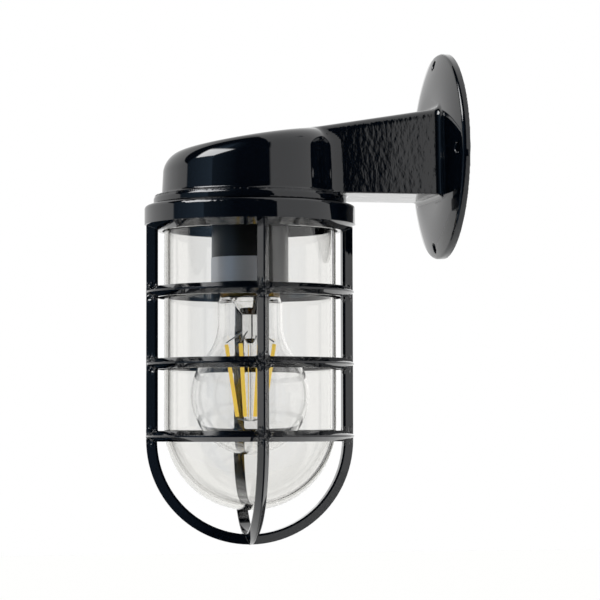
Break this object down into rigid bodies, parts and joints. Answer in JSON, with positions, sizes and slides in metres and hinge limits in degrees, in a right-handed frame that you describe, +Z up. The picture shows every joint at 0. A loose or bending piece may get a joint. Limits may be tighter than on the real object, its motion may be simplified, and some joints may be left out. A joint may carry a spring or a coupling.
{
  "type": "bulkhead light",
  "caption": "Nautical wall light: a cast head on an arm with a round wall plate, a clear glass globe with a filament bulb inside, and a screw-on ridged cage guard",
  "frame": {"origin": "centre of the wall plate's back face, which is the centre of the fixing holes' circle in the wall plane", "axes": "+Y into the wall, -Y out into the room, +Z up, +X to the right of someone who faces the wall"},
  "size_m": [0.1072, 0.1556, 0.2509],
  "materials": {
    "navy_paint": "high-gloss very dark navy paint",
    "clear_glass": "clear pressed glass",
    "bulb_glass": "clear thin glass",
    "black_rubber": "matte black rubber",
    "black_moulding": "satin black moulding",
    "silver_foil": "blank silver foil",
    "zinc_steel": "bright zinc-plated steel",
    "brass": "bare brass",
    "gold_cap": "gold-coloured brass cap",
    "ceramic": "glazed white ceramic",
    "white_moulding": "white moulding",
    "black_glass": "black insulating glass",
    "filament": "yellow coated light strip",
    "brown_sleeve": "brown lead sleeve",
    "blue_sleeve": "blue lead sleeve",
    "green_sleeve": "green lead sleeve"
  },
  "bodies": {
    "fixture": {"head_casting": "navy_paint", "wall_seal": "black_rubber", "holder_bracket": "zinc_steel", "bracket_screws": "zinc_steel", "holder_nipple": "brass", "nipple_nut": "brass", "holder_cap": "black_moulding", "holder_skirt": "black_moulding", "holder_band": "silver_foil", "contact_block": "ceramic", "screw_shell": "brass", "centre_contact": "brass", "holder_terminals": "brass", "holder_screws": "zinc_steel", "bulb_cap": "gold_cap", "bulb_insulator": "black_glass", "bulb_tip": "zinc_steel", "bulb_envelope": "bulb_glass", "bulb_stem": "bulb_glass", "filaments": "filament", "filament_wires": "zinc_steel", "terminal_block": "white_moulding", "terminal_tubes": "brass", "clamp_screws": "zinc_steel", "block_screw": "zinc_steel", "earth_screw": "zinc_steel", "earth_tag": "zinc_steel", "live_lead": "brown_sleeve", "neutral_lead": "blue_sleeve", "earth_lead": "green_sleeve"},
    "globe": {"globe": "clear_glass", "globe_gasket": "black_rubber"},
    "guard": {"guard": "navy_paint"}
  },
  "joints": [
    {"name": "globe_drop", "type": "slide", "parent": "fixture", "child": "globe", "axis": [0, 0, -1], "range_m": [0, 0.00601]},
    {"name": "guard_turn", "type": "hinge", "parent": "globe", "child": "guard", "pos_m": [0, -0.102, -0.1], "axis": [0, 0, -1], "range_deg": [0, 720]}
  ],
  "couplings": [
    {"joint": "globe_drop", "follows": "guard_turn", "m_per_rad": 0.00047746}
  ]
}
